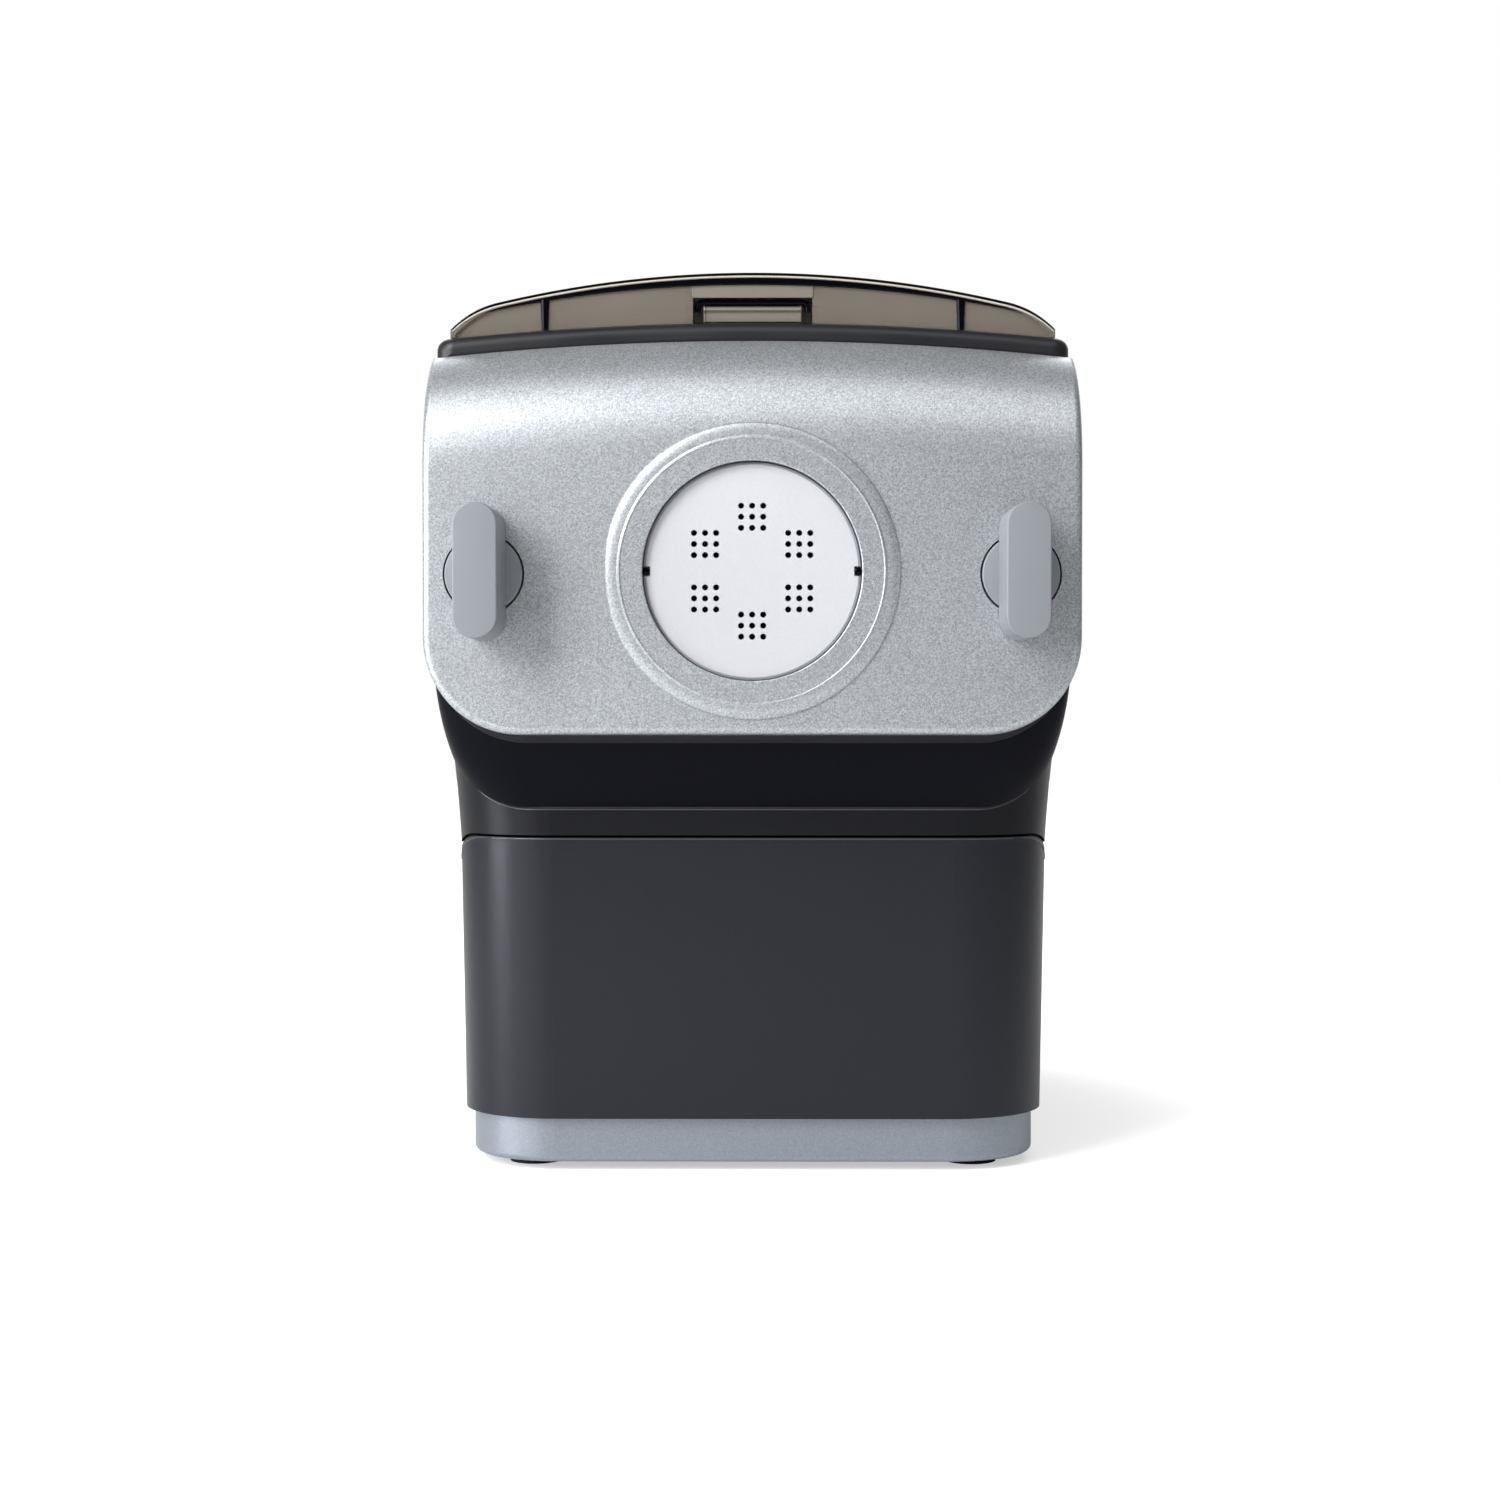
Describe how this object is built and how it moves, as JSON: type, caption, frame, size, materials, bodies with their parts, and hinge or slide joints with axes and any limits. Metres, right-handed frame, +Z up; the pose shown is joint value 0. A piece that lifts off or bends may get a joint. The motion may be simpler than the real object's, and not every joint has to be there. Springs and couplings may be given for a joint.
{
  "type": "electric pasta maker",
  "caption": "Countertop electric pasta maker with a mixing chamber under a see-through lid, a front shaping disc held by a clamped panel, and a storage drawer in its base",
  "frame": {"origin": "middle of the footprint, on the surface that the machine stands on", "axes": "+Z up, -Y towards the front with the shaping disc, +X to the right seen from the front"},
  "size_m": [0.215, 0.343, 0.304],
  "materials": {
    "silver_paint": "metallic silver paint, satin gloss",
    "dark_gloss": "moulded, high gloss",
    "dark_plastic": "moulded, satin",
    "drawer_paint": "dark metallic paint, satin gloss",
    "smoke_clear": "clear, smoke tinted",
    "clear_plastic": "clear",
    "knob_grey": "fine texture",
    "die_white": "moulded, satin",
    "pale_plastic": "moulded",
    "steel": "plated",
    "alloy": "die cast",
    "lamination": "varnished",
    "copper": "enamelled",
    "bronze": "sintered",
    "gear_nylon": "moulded",
    "black_rubber": "moulded",
    "grey_rubber": "moulded",
    "board_green": "coated",
    "button_silver": "satin"
  },
  "bodies": {
    "machine": {"base_pan": "silver_paint", "rubber_feet": "black_rubber", "base_screws": "steel", "main_housing": "drawer_paint", "front_collar": "dark_gloss", "top_deck": "dark_plastic", "rear_cover": "dark_plastic", "control_fascia": "dark_gloss", "display_window": "clear_plastic", "control_board": "board_green", "clamp_studs": "steel", "stud_yoke": "steel", "mixing_chamber": "clear_plastic", "shaft_seal": "grey_rubber", "gearbox_case": "alloy", "gearbox_cover": "alloy", "gearbox_screws": "steel", "gearbox_bushes": "bronze", "stator": "lamination", "windings": "copper", "front_bell": "alloy", "rear_bell": "alloy", "motor_bushes": "bronze", "bulkhead": "steel", "drawer_runners": "dark_plastic", "hinge_pins": "steel", "mains_inlet": "dark_plastic", "inlet_pins": "steel", "power_board": "board_green", "safety_switch": "dark_plastic"},
    "panel": {"front_panel": "silver_paint", "nozzle_ring": "silver_paint", "panel_backing": "dark_plastic"},
    "left_clamp": {"left_knob": "knob_grey", "left_knob_nut": "steel"},
    "right_clamp": {"right_knob": "knob_grey", "right_knob_nut": "steel"},
    "die": {"shaping_disc": "die_white"},
    "tube": {"extrusion_tube": "pale_plastic"},
    "drive": {"auger": "pale_plastic", "mixing_paddle": "pale_plastic", "output_gear": "gear_nylon", "output_shaft": "steel"},
    "middle_shaft": {"layshaft": "steel", "layshaft_gear": "gear_nylon"},
    "rotor": {"rotor_shaft": "steel", "rotor_core": "lamination", "cooling_fan": "dark_plastic"},
    "drawer": {"drawer_front": "drawer_paint", "drawer_tray": "dark_plastic", "disc_rack": "dark_plastic", "spare_discs": "die_white"},
    "lid": {"lid_shell": "smoke_clear", "lid_frame": "dark_plastic"},
    "catch": {"lid_catch": "dark_plastic"},
    "plunger": {"switch_plunger": "pale_plastic"},
    "button_power": {"power_button": "button_silver"},
    "button_program": {"program_button": "button_silver"},
    "button_extra": {"extra_button": "button_silver"},
    "button_start": {"start_button": "button_silver"}
  },
  "joints": [
    {"name": "panel_slide", "type": "slide", "parent": "machine", "child": "panel", "axis": [0, -1, 0], "range_m": [0, 0.18]},
    {"name": "die_slide", "type": "slide", "parent": "machine", "child": "die", "axis": [0, -1, 0], "range_m": [0, 0.135]},
    {"name": "tube_slide", "type": "slide", "parent": "machine", "child": "tube", "axis": [0, -1, 0], "range_m": [0, 0.09]},
    {"name": "left_knob_turn", "type": "hinge", "parent": "panel", "child": "left_clamp", "pos_m": [-0.0874, -0.146, 0.201], "axis": [0, -1, 0], "continuous": true},
    {"name": "right_knob_turn", "type": "hinge", "parent": "panel", "child": "right_clamp", "pos_m": [0.0874, -0.146, 0.201], "axis": [0, -1, 0], "continuous": true},
    {"name": "drive_spin", "type": "hinge", "parent": "machine", "child": "drive", "pos_m": [0, 0, 0.202], "axis": [0, 1, 0], "continuous": true},
    {"name": "middle_shaft_spin", "type": "hinge", "parent": "machine", "child": "middle_shaft", "pos_m": [0, 0.07, 0.157], "axis": [0, 1, 0], "continuous": true},
    {"name": "rotor_spin", "type": "hinge", "parent": "machine", "child": "rotor", "pos_m": [0, 0.13, 0.1195], "axis": [0, 1, 0], "continuous": true},
    {"name": "drawer_slide", "type": "slide", "parent": "machine", "child": "drawer", "axis": [0, -1, 0], "range_m": [0, 0.13]},
    {"name": "lid_hinge", "type": "hinge", "parent": "machine", "child": "lid", "pos_m": [0, 0.058, 0.29156], "axis": [-1, 0, 0], "range_deg": [0, 95]},
    {"name": "catch_pivot", "type": "hinge", "parent": "lid", "child": "catch", "pos_m": [0, -0.109, 0.2942], "axis": [-1, 0, 0], "range_deg": [0, 25], "stiffness_Nm_per_rad": 0.02},
    {"name": "plunger_rise", "type": "slide", "parent": "machine", "child": "plunger", "axis": [0, 0, 1], "range_m": [0, 0.0015]},
    {"name": "power_press", "type": "slide", "parent": "machine", "child": "button_power", "axis": [0, 0, -1], "range_m": [0, 0.0008], "stiffness_N_per_m": 800},
    {"name": "program_press", "type": "slide", "parent": "machine", "child": "button_program", "axis": [0, 0, -1], "range_m": [0, 0.0008], "stiffness_N_per_m": 800},
    {"name": "extra_press", "type": "slide", "parent": "machine", "child": "button_extra", "axis": [0, 0, -1], "range_m": [0, 0.0008], "stiffness_N_per_m": 800},
    {"name": "start_press", "type": "slide", "parent": "machine", "child": "button_start", "axis": [0, 0, -1], "range_m": [0, 0.0008], "stiffness_N_per_m": 800}
  ],
  "couplings": [
    {"joint": "die_slide", "follows": "panel_slide", "ratio": 0.75},
    {"joint": "tube_slide", "follows": "panel_slide", "ratio": 0.5},
    {"joint": "middle_shaft_spin", "follows": "drive_spin", "ratio": -4},
    {"joint": "rotor_spin", "follows": "drive_spin", "ratio": 16},
    {"joint": "plunger_rise", "follows": "lid_hinge", "m_per_rad": 0.0009}
  ]
}
